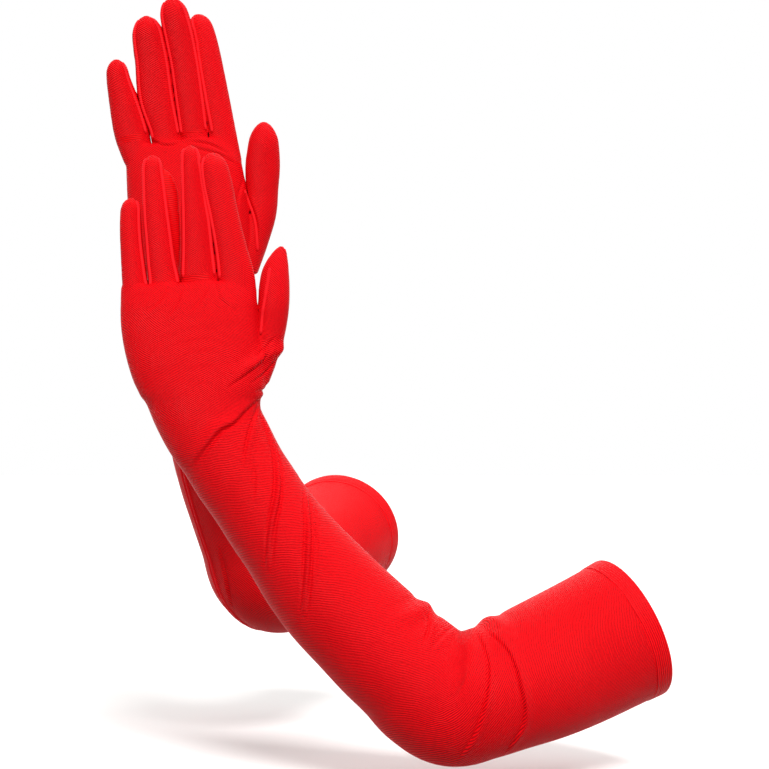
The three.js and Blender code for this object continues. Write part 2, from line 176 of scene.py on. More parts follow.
gloves = {
    "left": {
        # cuff to finger crotches: x, y, z, width, depth
        "sleeve": [
            (168.4, 45, -166.7, 100.4, 94), (149.6, 37, -175.2, 98.5, 91), (128.7, 28, -184.2, 97, 87),
            (104.8, 17, -193.3, 94, 85), (82.4, 8, -200.9, 89.2, 83), (63.1, 2, -206.8, 87, 82),
            (45.3, 0, -209.2, 90, 81), (30.7, 0, -202.3, 86.9, 81), (16, 0, -189.7, 82, 80),
            (0, 0, -175.7, 79.5, 77), (-16.3, 0, -160, 77, 74), (-34, 0, -142.3, 74.8, 72),
            (-49.7, 0, -124, 70.7, 70), (-63.7, 0, -105.7, 65.2, 67), (-76, 0, -89.3, 62.9, 64),
            (-86.3, 0, -73.7, 62.3, 61), (-96.7, 0, -58.3, 63, 58), (-105.7, 0, -42.3, 64.6, 55),
            (-114.2, 0, -27.6, 68, 52), (-118.3, 0, -15.3, 73.5, 50), (-120.3, 0, -1.3, 84, 48),
            (-123, 0, 10.7, 88.5, 45), (-126.2, 0, 21.3, 90, 42), (-128.5, 0, 32, 91, 38),
            (-130.2, 0, 43.7, 91, 34), (-130.5, 0, 55.7, 90.5, 28), (-130.9, 0, 66, 89.5, 20),
        ],
        # root to tip: x, z, width; y runs from the first value to the second
        "digits": {
            "little": {"y": (0, 5), "rows": [
                (-165, 49.7, 17.3), (-166, 65, 17.3), (-167.7, 81.7, 16), (-169, 96.3, 14.9),
                (-169.6, 108.3, 14.3), (-169.6, 117, 13.6), (-169.4, 124, 12.6)]},
            "ring": {"y": (0, 5), "rows": [
                (-145.3, 48.3, 21.3), (-146.5, 68, 21.2), (-148.7, 81.7, 19.8), (-150.3, 96.3, 19),
                (-152.2, 113, 18), (-153.4, 126.3, 16.5), (-154.7, 139.7, 14.6), (-155.2, 152.5, 13)],
                # the gusset that fills the space up to the middle finger: x, z, width; set back
                "fill": {"y": 5.0, "depth": 9.5, "rows": [
                    (-144.5, 63.2, 14), (-143.6, 79.9, 14), (-143.9, 96.6, 15.4), (-144.9, 113.3, 15.6),
                    (-146.3, 130, 15.4), (-149.8, 144, 11)]}},
            "middle": {"y": (0, 5), "rows": [
                (-121.7, 51, 25), (-123.4, 72.3, 25), (-124.3, 89.7, 22.4), (-125.3, 106.3, 20.4),
                (-127, 123, 17.4), (-128.3, 136.3, 15.2), (-129.5, 149.7, 13.2), (-130, 159.2, 11.6)]},
            "index": {"y": (0, 4), "rows": [
                (-97, 48.3, 25), (-99.1, 71.7, 25), (-102.4, 89, 22), (-105.9, 105.7, 20.4),
                (-108.8, 119, 20), (-111.4, 131.7, 20.6), (-113.6, 143, 19), (-116, 154, 16)]},
            "thumb": {"y": (2, 6), "rows": [
                (-87.7, 5.7, 23), (-82, 18.7, 21.5), (-78, 30.3, 21), (-75.3, 43, 20.8),
                (-74, 54.3, 20.8), (-73.6, 65, 20.4), (-72.8, 75, 18), (-71.4, 81.3, 14.6),
                (-69.8, 87, 10), (-68.2, 92.3, 5.6)], "tip": 0.8},
        },
        "crotch": {"little": 66.5, "ring": 68.5, "middle": 74.5, "index": 74.5, "thumb": 55},
    },
    "right": {
        "sleeve": [
            (-36, 315.1, -119.3, 101, 96), (-44, 292.5, -126.5, 95, 91), (-53, 269.9, -133.2, 90, 87),
            (-61, 247.2, -137.8, 87, 84), (-69.5, 224.7, -142.1, 85.5, 82.6),
            (-78.5, 202.2, -146.5, 86, 81), (-89.6, 184.1, -136.5, 84.5, 80),
            (-98.3, 178.1, -114.4, 79, 77), (-106.8, 172.3, -91.8, 76, 75),
            (-114.6, 164.8, -69, 74, 72), (-121.1, 157.3, -46, 71.5, 68.4),
            (-125.9, 149.7, -22.6, 68.7, 64.7), (-129.6, 142.2, 0.9, 65, 61),
            (-132.3, 134.7, 24.6, 62.5, 58), (-133.2, 126.7, 48.3, 64, 55),
            (-133.8, 119, 75, 69.3, 49), (-135.3, 115, 88.3, 75.2, 47), (-137.1, 114.8, 103, 83, 43),
            (-139.3, 114.8, 117.7, 86, 40), (-141.5, 114.8, 134.2, 85.5, 36),
            (-143.4, 114.8, 150.4, 83.5, 31), (-145, 114.8, 162, 81, 26),
            (-146, 114.8, 172.5, 78, 20),
        ],
        "digits": {
            "little": {"y": (114.8, 110), "rows": [
                (-176.5, 161.1, 21), (-180.9, 178.7, 25), (-187.1, 204.2, 21), (-189.8, 214.9, 18),
                (-191.4, 224.3, 15.6), (-192, 231.8, 14)]},
            "ring": {"y": (114.8, 107), "rows": [
                (-153.9, 161.1, 22.3), (-156.7, 179.1, 22), (-163.3, 204.9, 26.5), (-166.2, 231.5, 25),
                (-168.6, 246.2, 23.4), (-170.6, 262.2, 20)]},
            "middle": {"y": (114.8, 108), "rows": [
                (-133.1, 161.1, 20.9), (-136.2, 180.1, 21), (-139.6, 204.9, 21.9), (-143.5, 232.2, 21.9),
                (-146.6, 248, 22), (-149.6, 260.9, 21), (-153, 275.4, 17.5)]},
            "index": {"y": (115.5, 120), "rows": [
                (-114.2, 158.8, 24), (-117.1, 179.7, 21.4), (-121.2, 201, 21.3), (-125.2, 222.6, 20.6),
                (-128.9, 241, 20), (-131.5, 253, 18.6), (-135.4, 265.8, 15.5)]},
            "thumb": {"y": (119, 112), "rows": [
                (-103, 83.6, 24.4), (-95.1, 103.7, 23), (-89, 123.6, 22.5), (-87.9, 141.4, 23.4),
                (-87.4, 158.3, 24.8), (-86.8, 170.8, 22.4), (-86.4, 187.5, 18.5)], "tip": 0.85},
        },
        "crotch": {"little": 180, "ring": 180, "middle": 183.5, "index": 183.5, "thumb": 148},
    },
}
cloth = {
    "grid": 1.4,  # size of the surface's cells
    "inset": 1.35,  # solids are drawn in by this so that neighbouring fingers stay apart
    "swell": 1.5,  # and the surface is let out again
    "rounding": 4,  # smoothing passes
    "thickness": 0.9,
    "sleeveSquare": 2.0,
    "palmSquare": 2.5,
    "digitSquare": 2.15,
    "beyondCuff": 14,
    "fineReach": 5.5,  # cells this near a fold or a seam are halved
    "clearInFront": 400.0,  # lines are dropped on the gloves from this far in front
    "squarer": (95, 60),  # the palm's section starts this far before the crotches, and sets in over the second
    "around": 96, "aroundDigit": 40, "aroundFill": 32,
    "alongDigit": 0.8,  # spacing of a digit's rows
    "depthShare": {"thumb": 0.9, "finger": 0.84}, "deepest": {"thumb": 18.5, "finger": 16.5},
    "tip": 0.62, "fillTip": 0.8,  # length of an end's oval in widths
}
digitOrder = ("little", "ring", "middle", "index")
neighbours = {
    "little": ("thumbward",), "ring": ("outward", "thumbward"),
    "middle": ("outward", "thumbward"), "index": ("outward",),
}


def roundEnd(limb, share):
    # closes a finger's end in an oval, over share times its width
    length = limb["s"][-1]
    reach = limb["width"][-1] * share
    t = np.clip((limb["s"] - (length - reach)) / reach, 0, 1)
    close = np.sqrt(np.maximum(1 - t**2, 0.004))
    limb["width"] = limb["width"] * close
    limb["depth"] = limb["depth"] * close


def buildLimbs(glove):
    shape = gloves[glove]
    rows = np.array(shape["sleeve"], float)
    sleeve = makeLimb(rows, cloth["sleeveSquare"])
    length = sleeve["s"][-1]
    before, over = cloth["squarer"]
    share = np.clip((sleeve["s"] - (length - before)) / over, 0, 1)
    sleeve["square"] = (cloth["sleeveSquare"] + (cloth["palmSquare"] - cloth["sleeveSquare"]) * share)[:, None]
    digits = {}
    for name, digit in shape["digits"].items():
        r = np.array(digit["rows"], float)
        t = (r[:, 1] - r[0, 1]) / (r[-1, 1] - r[0, 1])
        y = digit["y"][0] + (digit["y"][1] - digit["y"][0]) * t**2
        kind = "thumb" if name == "thumb" else "finger"
        depth = np.minimum(r[:, 2] * cloth["depthShare"][kind], cloth["deepest"][kind])
        stations = np.column_stack((r[:, 0], y, r[:, 1], r[:, 2], depth))
        digits[name] = makeLimb(stations, cloth["digitSquare"], spacing=cloth["alongDigit"])
        digits[name]["crotch"] = shape["crotch"][name]
        roundEnd(digits[name], digit.get("tip", cloth["tip"]))
        if "fill" in digit:
            fill = digit["fill"]
            r = np.array(fill["rows"], float)
            even = np.full(len(r), 1.0)
            stations = np.column_stack((r[:, 0], even * fill["y"], r[:, 1], r[:, 2], even * fill["depth"]))
            digits[name]["fill"] = makeLimb(stations, cloth["digitSquare"], spacing=cloth["alongDigit"])
            roundEnd(digits[name]["fill"], cloth["fillTip"])
    return sleeve, digits


def buildShell(glove, sleeve, digits):
    points, faces = [], []

    def take(solid):
        base = sum(len(p) for p in points)
        points.append(solid[0])
        faces.extend(tuple(i + base for i in f) for f in solid[1])

    longer = dict(sleeve)
    first = sleeve["centre"][0] - sleeve["along"][0] * cloth["beyondCuff"]
    for key in ("width", "depth"):
        longer[key] = np.concatenate(([sleeve[key][0]], sleeve[key]))
    longer["centre"] = np.vstack((first, sleeve["centre"]))
    for key in ("side", "front"):
        longer[key] = np.vstack((sleeve[key][0], sleeve[key]))
    longer["square"] = np.vstack((sleeve["square"][:1], sleeve["square"]))
    take(limbSolid(longer, cloth["around"], cloth["inset"]))
    for limb in digits.values():
        take(limbSolid(limb, cloth["aroundDigit"], cloth["inset"]))
        if "fill" in limb:
            take(limbSolid(limb["fill"], cloth["aroundFill"], cloth["inset"]))
    raw = bpy.data.objects.new(glove + "Raw", meshFrom(np.concatenate(points), faces, glove + "Raw"))
    bpy.context.scene.collection.objects.link(raw)
    grid = raw.modifiers.new("grid", "REMESH")
    grid.mode = "VOXEL"
    grid.voxel_size = cloth["grid"]
    ease = raw.modifiers.new("ease", "SMOOTH")
    ease.factor = 0.5
    ease.iterations = cloth["rounding"]
    bpy.context.view_layer.update()
    mesh = bpy.data.meshes.new_from_object(raw.evaluated_get(bpy.context.evaluated_depsgraph_get()))
    bpy.data.objects.remove(raw)
    work = bmesh.new()
    work.from_mesh(mesh)
    bmesh.ops.bisect_plane(
        work, geom=work.verts[:] + work.edges[:] + work.faces[:], dist=0.0001,
        plane_co=sleeve["centre"][0], plane_no=-Vector(sleeve["along"][0]), clear_outer=True,
    )
    loose = [v for v in work.verts if not v.link_faces]
    bmesh.ops.delete(work, geom=loose, context="VERTS")
    work.to_mesh(mesh)
    work.free()
    mesh.update()
    return mesh


def nearest(points, limb):
    # for each point: the limb's nearest station, and how far out it lies from the middle line
    best = np.full(len(points), 1e9)
    index = np.zeros(len(points), int)
    for k in range(len(limb["s"])):
        d = points - limb["centre"][k]
        d2 = np.einsum("ij,ij->i", d, d)
        closer = d2 < best
        best[closer] = d2[closer]
        index[closer] = k
    return index, np.sqrt(best)


def limbPlace(points, limb, index):
    # (along mm, side mm, front mm) of each point in its station's frame
    d = points - limb["centre"][index]
    a = np.einsum("ij,ij->i", d, limb["side"][index])
    f = np.einsum("ij,ij->i", d, limb["front"][index])
    s = limb["s"][index] + np.einsum("ij,ij->i", d, limb["along"][index])
    return np.column_stack((s, a, f))


def densify(points, step=1.5):
    points = np.asarray(points, float)
    t = lengthAlong(points)
    q = np.linspace(0, t[-1], max(2, int(t[-1] / step) + 1))
    if len(points) > 2:
        return curveThrough(points, t, q)
    return np.column_stack([np.interp(q, t, points[:, k]) for k in range(points.shape[1])])


def onFront(tree, line):
    # layout (x, z) points dropped on the surface that faces the viewer
    found = []
    for x, z in densify(line):
        hit, normal, _, _ = tree.ray_cast(Vector((x, -cloth["clearInFront"], z)), Vector((0, 1, 0)))
        if hit is not None:
            found.append((hit, normal))
    return found


def onLimb(tree, limb, line):
    # (along mm, angle in degrees from the side towards the front) points dropped on the surface from inside
    found = []
    for s, angle in densify(line, 1.5):
        k = int(np.clip(np.searchsorted(limb["s"], s), 0, len(limb["s"]) - 1))
        a = math.radians(angle)
        direction = Vector(limb["side"][k] * math.cos(a) + limb["front"][k] * math.sin(a))
        hit, normal, _, distance = tree.ray_cast(Vector(limb["centre"][k]), direction)
        if hit is not None and distance < max(limb["width"][k], limb["depth"][k]) * 0.5 + 3:
            found.append((hit, normal))
    return found


def pressFold(points, normals, found, width, height, valley, lean=1):
    # a crease along a line on the surface with raised cloth on the side away from lean; no lean makes
    # a narrow ridge with a hollow on both sides
    if len(found) < 3:
        return
    line = steady(np.array([tuple(f[0]) for f in found]))
    up = unit(steady(np.array([tuple(f[1]) for f in found])))
    reach = width * 4
    inside = np.all((points > line.min(0) - reach) & (points < line.max(0) + reach), axis=1)
    near = np.where(inside)[0]
    if not len(near):
        return
    d = points[near][:, None, :] - line[None, :, :]
    d2 = np.einsum("ijk,ijk->ij", d, d)
    k = d2.argmin(1)
    rows = np.arange(len(near))
    tangent = unit(np.gradient(line, axis=0))[k]
    gap = d[rows, k]
    beyond = np.abs(np.einsum("ij,ij->i", gap, tangent))
    gap = gap - np.einsum("ij,ij->i", gap, tangent)[:, None] * tangent
    signed = np.einsum("ij,ij->i", gap, unit(np.cross(tangent, up[k])))
    facing = np.clip(np.einsum("ij,ij->i", normals[near], up[k]) * 2, 0, 1)
    ends = np.clip(np.sin(math.pi * (k + 1) / (len(line) + 1)), 0, 1) ** 0.6
    fade = np.exp(-((beyond / width) ** 2))
    u = signed / width
    if lean:
        ridge = height * np.exp(-(((u + lean) / np.where(u * lean < -1, 1.7, 0.75)) ** 2))
        hollow = valley * np.exp(-((u / 0.5) ** 2))
    else:
        ridge = height * np.exp(-((u / 0.7) ** 2))
        hollow = valley * np.exp(-(((np.abs(u) - 1.4) / 0.5) ** 2))
    points[near] += ((ridge - hollow) * ends * fade * facing)[:, None] * normals[near]


def steady(values, passes=3):
    # evens out a line of points, its ends held
    values = values.copy()
    for _ in range(passes):
        values[1:-1] = values[1:-1] / 2 + (values[:-2] + values[2:]) / 4
    return values


def tube(found, radius, lift, beadEvery=0.0, sides=6):
    # a thread or a seam ridge lying on the surface
    if len(found) < 5:
        return None
    line = steady(np.array([tuple(f[0]) for f in found]))
    up = unit(steady(np.array([tuple(f[1]) for f in found])))
    tangent = unit(np.gradient(line, axis=0))
    across = unit(np.cross(tangent, up))
    up = np.cross(across, tangent)
    t = lengthAlong(line)
    swell = np.ones(len(t))
    if beadEvery:
        swell += 0.18 * np.cos(t / beadEvery * 2 * math.pi)
    swell[0] = swell[-1] = 0.3
    line = line + up * lift
    angles = np.arange(sides) / sides * 2 * math.pi
    rings = (
        line[:, None, :]
        + (radius * swell)[:, None, None] * np.cos(angles)[None, :, None] * across[:, None, :]
        + (radius * 0.75 * swell)[:, None, None] * np.sin(angles)[None, :, None] * up[:, None, :]
    )
    n = len(rings)
    faces = []
    for k in range(n - 1):
        for j in range(sides):
            jn = (j + 1) % sides
            faces.append((k * sides + j, k * sides + jn, (k + 1) * sides + jn, (k + 1) * sides + j))
    faces.append(tuple(range(sides))[::-1])
    faces.append(tuple((n - 1) * sides + j for j in range(sides)))
    return rings.reshape(-1, 3), faces


# folds, drawn as the viewer sees them: layout (x, z) points, width, height, hollow, lean
folds = {
    "left": [
        ([(-83.5, -10), (-92, -19), (-99, -27), (-106, -30), (-114, -39), (-123.3, -51)], 2.6, 2.2, 2.0, -1),
        ([(-83.2, -13), (-87, -24), (-90.3, -37), (-92.5, -52)], 2.0, 1.0, 1.3, 1),
        ([(-82, -20), (-76, -34), (-70.9, -50), (-69.6, -70), (-73.7, -92.3), (-76.5, -120)], 1.9, 1.5, 1.5, 0),
        ([(-88, -46), (-85, -60), (-86, -76)], 2.4, 0.5, 0.7, 1),
        ([(-52, -72), (-49.5, -92.3), (-50, -116.3), (-53, -150)], 1.9, 1.5, 1.4, 0),
        ([(-46, -80), (-44, -100), (-45, -122)], 2.2, 0.5, 0.9, 1),
        ([(61, -164), (67, -180), (66, -200), (59, -226), (48, -246)], 2.0, 1.9, 1.7, 1),
        ([(68, -163), (80, -175), (88, -197), (90.5, -221), (80, -242)], 2.0, 1.9, 1.7, 1),
        ([(57, -170), (55, -186), (48, -202)], 2.2, 0.7, 0.9, -1),
        ([(29, -149), (29.5, -157), (26, -168)], 2.0, 1.2, 1.4, 1),
        ([(48, -160), (40, -163), (33, -170)], 2.2, 0.8, 0.8, 1),
        ([(-75.3, 24), (-81.7, 15), (-91, 6), (-101, -1)], 1.9, 0.8, 1.0, -1),
        ([(-72, 17), (-78, 9), (-86, 2)], 1.9, 0.8, 1.0, -1),
        ([(-73, 31), (-79, 24), (-85, 19)], 1.9, 0.6, 0.9, -1),
        ([(-145, 62), (-150, 54), (-156, 49)], 2.0, 0.5, 0.6, 1),
        ([(-134.5, 63), (-138, 52), (-143, 45)], 2.0, 0.5, 0.6, 1),
        ([(-112, 66), (-108, 56), (-101, 50)], 2.0, 0.5, 0.6, 1),
        ([(-117, 65), (-122, 55), (-128, 49)], 2.0, 0.5, 0.6, 1),
    ],
    "right": [
        ([(-166, 174.5), (-158, 170.5), (-151, 170.5), (-146, 172.5)], 1.8, 0.9, 1.3, 1),
        ([(-146, 172.5), (-135, 173), (-123, 170.5), (-113.5, 165.5)], 1.8, 0.9, 1.3, 1),
        ([(-143, 172), (-130, 167), (-118, 164), (-106, 157)], 1.8, 0.7, 1.0, 1),
        ([(-99.4, 138.2), (-91.5, 114.5), (-90.1, 96.5)], 2.0, 0.9, 1.2, 1),
        ([(-101, 146), (-105, 130), (-104, 112)], 2.0, 0.8, 1.0, 1),
        ([(-120, -120), (-116, -140), (-112, -166)], 2.4, 1.0, 1.0, -1),
    ],
}
# folds round the sleeve: (mm from the cuff, degrees from the inner side towards the front)
windings = {
    "left": [
        ([(94, -75), (96, -25), (97, 20), (103, 60)], 7.0, 2.2, 0.6, 0),  # bulges at the crook
        ([(189, -70), (192, -25), (195, 18), (203, 55)], 6.4, 2.1, 0.8, 0),
        ([(426, -35), (421, 0), (414, 38)], 5.0, 2.2, 0.3, 0),
        ([(396, -70), (401, -20), (402, 20)], 3.0, 0.6, 1.8, 1),
        ([(100, 200), (118, 235), (132, 262)], 3, 1.9, 1.7, 1),
        ([(112, 190), (128, 222), (146, 250)], 2.8, 1.7, 1.5, 1),
        ([(150, 215), (158, 250), (176, 285)], 3, 1.9, 1.7, -1),
        ([(196, 300), (224, 270), (252, 235)], 3, 1.4, 1.3, 1),
        ([(290, 330), (318, 300), (346, 262)], 3, 1.4, 1.3, 1),
        ([(330, 200), (350, 232), (366, 262)], 3, 1.2, 1.2, 1),
        ([(372, 320), (386, 285), (404, 255)], 2.6, 1.8, 1.5, 1),
        ([(382, 345), (398, 310), (410, 280)], 2.6, 1.4, 1.3, 1),
        ([(44, 210), (60, 250), (72, 290)], 3.4, 0.9, 0.9, 1),
    ],
    "right": [
        ([(96, 20), (118, 50), (140, 75)], 3, 2.2, 1.9, 1),
        ([(110, 8), (128, 34), (146, 58)], 2.8, 1.8, 1.6, 1),
        ([(150, 30), (168, 62), (196, 92)], 3, 1.8, 1.6, -1),
        ([(110, 330), (124, 300), (138, 270)], 3, 1.9, 1.8, 1),
        ([(152, 330), (168, 295), (190, 262)], 3, 1.8, 1.5, -1),
        ([(220, 120), (250, 88), (282, 60)], 3, 1.4, 1.3, 1),
        ([(228, 300), (262, 268), (296, 240)], 3, 1.4, 1.3, 1),
        ([(300, 330), (322, 300), (346, 270)], 3, 1.2, 1.2, 1),
        ([(360, 130), (376, 95), (392, 66)], 2.6, 1.8, 1.5, 1),
        ([(366, 330), (384, 290), (402, 255)], 2.6, 1.8, 1.5, 1),
        ([(378, 350), (394, 312), (408, 280)], 2.6, 1.4, 1.3, 1),
        ([(40, 240), (62, 270), (82, 300)], 3.4, 0.9, 0.9, 1),
    ],
}
seam = {
    "radius": 0.34, "lift": 0.2, "bead": 2.2,  # the thread, its lift off the cloth and its stitch length
    "groove": 2.4, "depth": 0.4,
    "sideAngle": 36,  # how far round from a finger's side its strip reaches
}
sideSeam = {
    # (mm from the cuff, degrees): two lines of stitches up the little-finger side, on the palm's face
    "left": [[(14, 199), (140, 199), (300, 200), (420, 205)], [(14, 204), (140, 204), (300, 206), (420, 212)]],
    "right": [[(14, 150), (140, 150), (240, 147), (330, 145), (420, 146)],
              [(14, 145), (140, 145), (240, 141), (330, 138), (420, 140)]],
}
drawnSeams = {
    "left": [[(-76.3, 77), (-79, 60), (-81.3, 46), (-82, 34)]],
    "right": [[(-100, 138.2), (-92.5, 116), (-91, 96.5)]],
}


def pressGroove(points, normals, found, width, depth):
    pressFold(points, normals, found, width, 0.0, depth, 1)


seamAngles = {("right", "index", "outward"): 58}  # where a strip shows more from the front


def seamAngle(glove, name, side):
    return seamAngles.get((glove, name, side), seam["sideAngle"])


def alongLimb(tree, limb, line):
    # the same for a plain limb: worked out from its sections and settled on the nearest cloth
    found = []
    power = 2 / limb["square"]
    for s, angle in densify(line, 1.2):
        k = int(np.clip(np.searchsorted(limb["s"], s), 0, len(limb["s"]) - 1))
        c, f = math.cos(math.radians(angle)), math.sin(math.radians(angle))
        c, f = math.copysign(abs(c) ** power, c), math.copysign(abs(f) ** power, f)
        place = (limb["centre"][k] + limb["side"][k] * limb["width"][k] / 2 * c
                 + limb["front"][k] * limb["depth"][k] / 2 * f)
        hit, normal, _, distance = tree.find_nearest(Vector(place))
        if hit is not None and distance < 1.5:
            found.append((hit, normal))
    return found


def fingerSeams(tree, digit, glove, name):
    # both edges of each strip between the fingers, front and back, from the crotch to the tip
    lines = []
    start = float(np.interp(digit["crotch"], digit["centre"][:, 2], digit["s"]))
    end = digit["s"][-1] - 3.0
    for side in neighbours[name]:
        for face in (1, -1):
            angle = seamAngle(glove, name, side) if face == 1 else seam["sideAngle"]
            angle = angle if side == "thumbward" else 180 - angle
            lines.append([(start - 2, face * angle), ((start + end) / 2, face * angle), (end, face * angle)])
    return [alongLimb(tree, digit, line) for line in lines]


def treeOf(points, faces):
    return BVHTree.FromPolygons([tuple(p) for p in points], faces)


def facesOf(mesh):
    return [tuple(p.vertices) for p in mesh.polygons]


hemBand = {
    "around": 180, "inFromRim": 0.6,  # rays for the rim are cast this far inside it
    # (mm from the rim, mm proud of the cloth)
    "profile": [
        (12.6, -0.1), (12.2, 0.2), (11.6, 0.35), (10.8, 0.4), (9.8, 0.15), (8.8, 0.42), (5, 0.5),
        (1.6, 0.5), (0.5, 0.35), (-0.1, -0.1), (0.1, -0.8), (0.8, -1.4), (2, -1.6), (11, -1.6), (12, -1.3),
    ],
}


def makeHem(tree, sleeve):
    # a turned band round the cuff
    profile, around = hemBand["profile"], hemBand["around"]
    points, faces = [], []
    for s, out in profile:
        inside = max(s, hemBand["inFromRim"])
        k = int(round(np.interp(inside, sleeve["s"], np.arange(len(sleeve["s"])))))
        centre = sleeve["centre"][0] + sleeve["along"][0] * s
        for j in range(around):
            a = j / around * 2 * math.pi
            direction = sleeve["side"][0] * math.cos(a) + sleeve["front"][0] * math.sin(a)
            hit = tree.ray_cast(Vector(sleeve["centre"][0] + sleeve["along"][0] * inside), Vector(direction))[0]
            reach = np.dot(np.array(hit) - centre, direction) if hit is not None else sleeve["width"][k] / 2
            points.append(centre + direction * (reach + out))
    rings = len(profile)
    for i in range(rings):
        for j in range(around):
            a, b = i * around, ((i + 1) % rings) * around
            jn = (j + 1) % around
            faces.append((a + j, b + j, b + jn, a + jn))
    return np.array(points), faces


def linear(hexColour):
    channels = [int(hexColour[i:i + 2], 16) / 255 for i in (1, 3, 5)]
    return tuple(c / 12.92 if c <= 0.04045 else ((c + 0.055) / 1.055) ** 2.4 for c in channels) + (1,)


def addNode(tree, kind, settings=None, inputs=None, links=None):
    node = tree.nodes.new(kind)
    for key, value in (settings or {}).items():
        setattr(node, key, value)
    for key, value in (inputs or {}).items():
        node.inputs[key].default_value = value
    for key, source in (links or {}).items():
        tree.links.new(source, node.inputs[key])
    return node


weave = {
    "wobbleScale": 0.06, "wobble": 3.0,  # slow waver of the ribs
    "fibreScale": 0.9, "fibreRough": 0.6, "fibreLift": 1.6,
    "patchScale": 0.022,
    "shadeFrom": -0.5, "shadeTo": 1.1,  # heights between which the darker thread colour gives way; it is painted shade in the rib valleys, mixed with random fibre tone
    "roughSpread": 0.05, "bumpDepth": 0.0003, "ior": 1.45, "shine": 0.09, "sheenRough": 0.45,
}


def knitSatin(name, values):
    # satin-finish stretch knit: a soft even glow, fine raised ribs, and a darker thread colour between them that
    # paints shade into the rib valleys, mixed with random fibre tone
    material = bpy.data.materials.new(name)
    material.use_nodes = True
    tree = material.node_tree
    tree.nodes.clear()

    def sums(operation, inputs, links):
        return addNode(tree, "ShaderNodeMath", {"operation": operation}, inputs, links).outputs[0]

    def noise(scale, detail, rough=0.5):
        inputs = {"Scale": scale, "Detail": detail, "Roughness": rough}
        return addNode(tree, "ShaderNodeTexNoise", {}, inputs, {"Vector": grain}).outputs[0]

    def between(low, high, share, inputs=None):
        links = {0: share, **({7: high} if high else {}), **({6: low} if low else {})}
        return addNode(tree, "ShaderNodeMix", {"data_type": "RGBA"}, inputs, links).outputs[2]

    grain = addNode(tree, "ShaderNodeAttribute", {"attribute_name": "clothGrain"}).outputs["Vector"]
    parts = addNode(tree, "ShaderNodeSeparateXYZ", links={0: grain})
    lean = sums("MULTIPLY", {1: values["lean"]}, {0: parts.outputs["Y"]})
    run = sums("ADD", {}, {0: parts.outputs["X"], 1: lean})
    shift = sums("MULTIPLY_ADD", {1: weave["wobble"]}, {0: noise(weave["wobbleScale"], 2.0), 2: run})
    turn = sums("MULTIPLY", {1: 2 * math.pi / values["ribEvery"]}, {0: shift})
    rib = sums("MULTIPLY", {1: values["rib"]}, {0: sums("SINE", {}, {0: turn})})
    fibres = noise(weave["fibreScale"], 3.0, weave["fibreRough"])
    height = sums("MULTIPLY_ADD", {1: weave["fibreLift"]}, {0: fibres, 2: rib})
    shade = addNode(tree, "ShaderNodeMapRange", {}, {1: weave["shadeFrom"], 2: weave["shadeTo"], 3: 0.0, 4: 1.0},
                    {0: height}).outputs[0]
    # large random patches between the deep and the main colour: partly random tone in the cloth, partly painted
    # sheen variation of the satin
    patches = noise(weave["patchScale"], 2.0)
    dyeAndSheenPatches = between(None, None, patches, {6: linear(values["deep"]), 7: linear(values["colour"])})
    # painted shade: the thread colour darkens the low places of the rib height, the valleys between the ribs,
    # together with random fibre tone
    threadAndValleyShade = between(None, dyeAndSheenPatches, shade, {6: linear(values["thread"])})
    stitching = addNode(tree, "ShaderNodeAttribute", {"attribute_name": "stitching"}).outputs["Fac"]
    # painted highlight: the stitch threads are coloured lighter than the cloth, so the seam ridges look lit
    coloured = between(threadAndValleyShade, None, stitching, {7: linear(values["stitchHighlight"])})
    spread = weave["roughSpread"]
    rough = addNode(tree, "ShaderNodeMapRange", {},
                    {1: 0.3, 2: 0.7, 3: values["rough"] - spread, 4: values["rough"] + spread}, {0: fibres})
    bump = addNode(tree, "ShaderNodeBump", {}, {"Strength": values["bump"], "Distance": weave["bumpDepth"]},
                   {"Height": height})
    shader = addNode(tree, "ShaderNodeBsdfPrincipled", {}, {
        "IOR": weave["ior"], "Specular IOR Level": weave["shine"], "Sheen Weight": values["sheen"],
        "Sheen Roughness": weave["sheenRough"], "Sheen Tint": linear(values["sheenTint"]),
    }, {"Base Color": coloured, "Roughness": rough.outputs[0], "Normal": bump.outputs[0]})
    addNode(tree, "ShaderNodeOutputMaterial", links={"Surface": shader.outputs[0]})
    return material


# knitted ribs are about 0.5 mm apart; drawn wider so that they show
satin = {
    # deep is the darker tone of the large random patches, partly painted sheen variation
    # the stitch colour is lighter than the cloth: a painted highlight on the seam threads
    # the thread colour is painted shade for the rib valleys, mixed with random fibre tone
    "colour": "#FF0A18", "deep": "#F80812", "thread": "#98020A", "stitchHighlight": "#FF1C26", "lean": 0.75,
    "ribEvery": 1.3, "rib": 1.0, "rough": 0.5, "bump": 0.6, "sheen": 0.012, "sheenTint": "#FF2A26",
}
finishes = {
    "satin": satin,
    # the gusset copy of the satin has a darker colour and deep tone: painted shade for the fourchette strips that
    # sit in shade between the fingers
    "gusset_satin": {**satin, "colour": "#F2060F", "deep": "#E8050D", "thread": "#AE0209", "lean": 0.0,
                     "rib": 0.8, "rough": 0.52, "bump": 0.5},
    "hem_satin": {**satin, "lean": 0.0, "ribEvery": 1.5, "rib": 0.8},
}
materials = {slot: knitSatin(slot + "Knit", values) for slot, values in finishes.items()}


